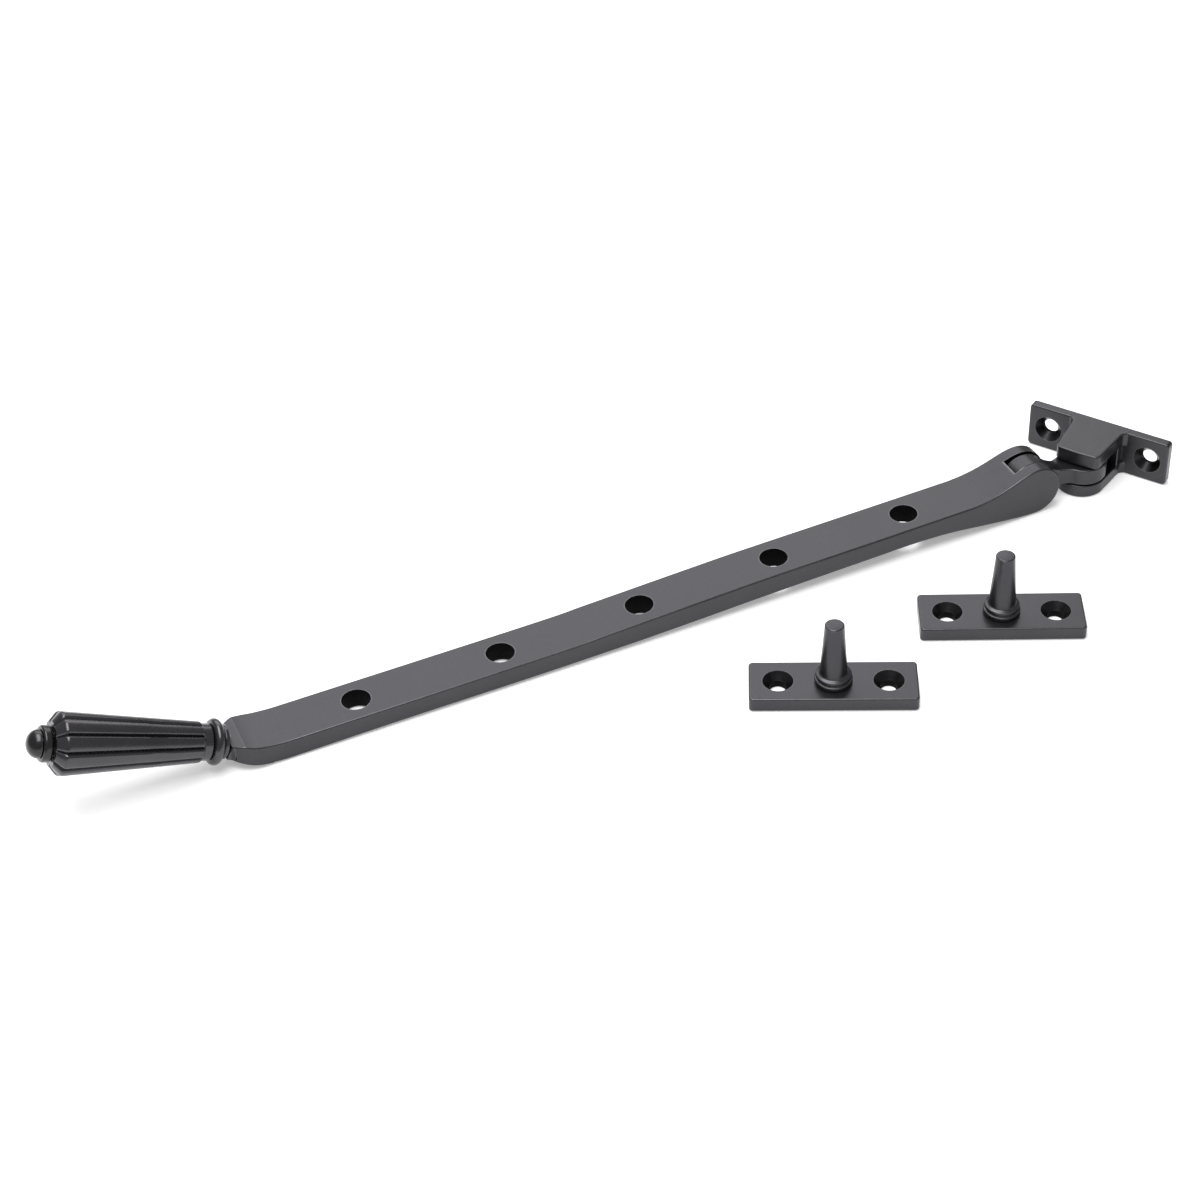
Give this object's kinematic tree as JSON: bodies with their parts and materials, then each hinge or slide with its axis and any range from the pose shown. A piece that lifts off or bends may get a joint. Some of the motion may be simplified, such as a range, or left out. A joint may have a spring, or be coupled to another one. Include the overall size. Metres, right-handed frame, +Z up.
{
  "type": "casement window stay",
  "caption": "Cranked casement stay: flat arm with peg holes and a reeded handle, a swivel link and screw-on bracket at its clevis, and separate tapered studs on screw-down plates.",
  "frame": {"origin": "under the middle of the bounding box of the whole set, on the surface it lies on", "axes": "+X along the arm from the handle to the bracket, +Z up from the surface, +Y across the arm, away from the side where the loose pin plates lie"},
  "size_m": [0.3712, 0.1006, 0.0341],
  "materials": {
    "aged_bronze": "dark patinated bronze, fine brushed satin, slightly lighter along edges",
    "handle_bronze": "dark patinated bronze casting, smoother and glossier than the arm",
    "bare_steel": "plain turned steel rod"
  },
  "bodies": {
    "arm": {"stay_arm": "aged_bronze", "clevis_pin": "aged_bronze", "end_finial": "handle_bronze", "finial_ring": "handle_bronze", "handle_grip": "handle_bronze", "handle_collar": "handle_bronze", "handle_tie_rod": "bare_steel"},
    "link": {"swivel_link": "aged_bronze"},
    "bracket": {"fixing_bracket": "aged_bronze", "bracket_pin": "aged_bronze"},
    "plate_a": {"pin_plate_a": "aged_bronze", "pin_stud_a": "aged_bronze"},
    "plate_b": {"pin_plate_b": "aged_bronze", "pin_stud_b": "aged_bronze"}
  },
  "joints": [
    {"name": "arm_pivot", "type": "hinge", "parent": "arm", "child": "link", "pos_m": [0.13812, 0.02174, 0.0086], "axis": [0, -1, 0], "range_deg": [-60, 95]},
    {"name": "bracket_swivel", "type": "hinge", "parent": "link", "child": "bracket", "pos_m": [0.15972, 0.02174, 0.0075], "axis": [0, 0, 1], "range_deg": [-123.1, 56.9]},
    {"name": "plate_a_lift", "type": "slide", "parent": "arm", "child": "plate_a", "axis": [0, 0, 1], "range_m": [0, 0.04]},
    {"name": "plate_b_lift", "type": "slide", "parent": "arm", "child": "plate_b", "axis": [0, 0, 1], "range_m": [0, 0.04]}
  ]
}
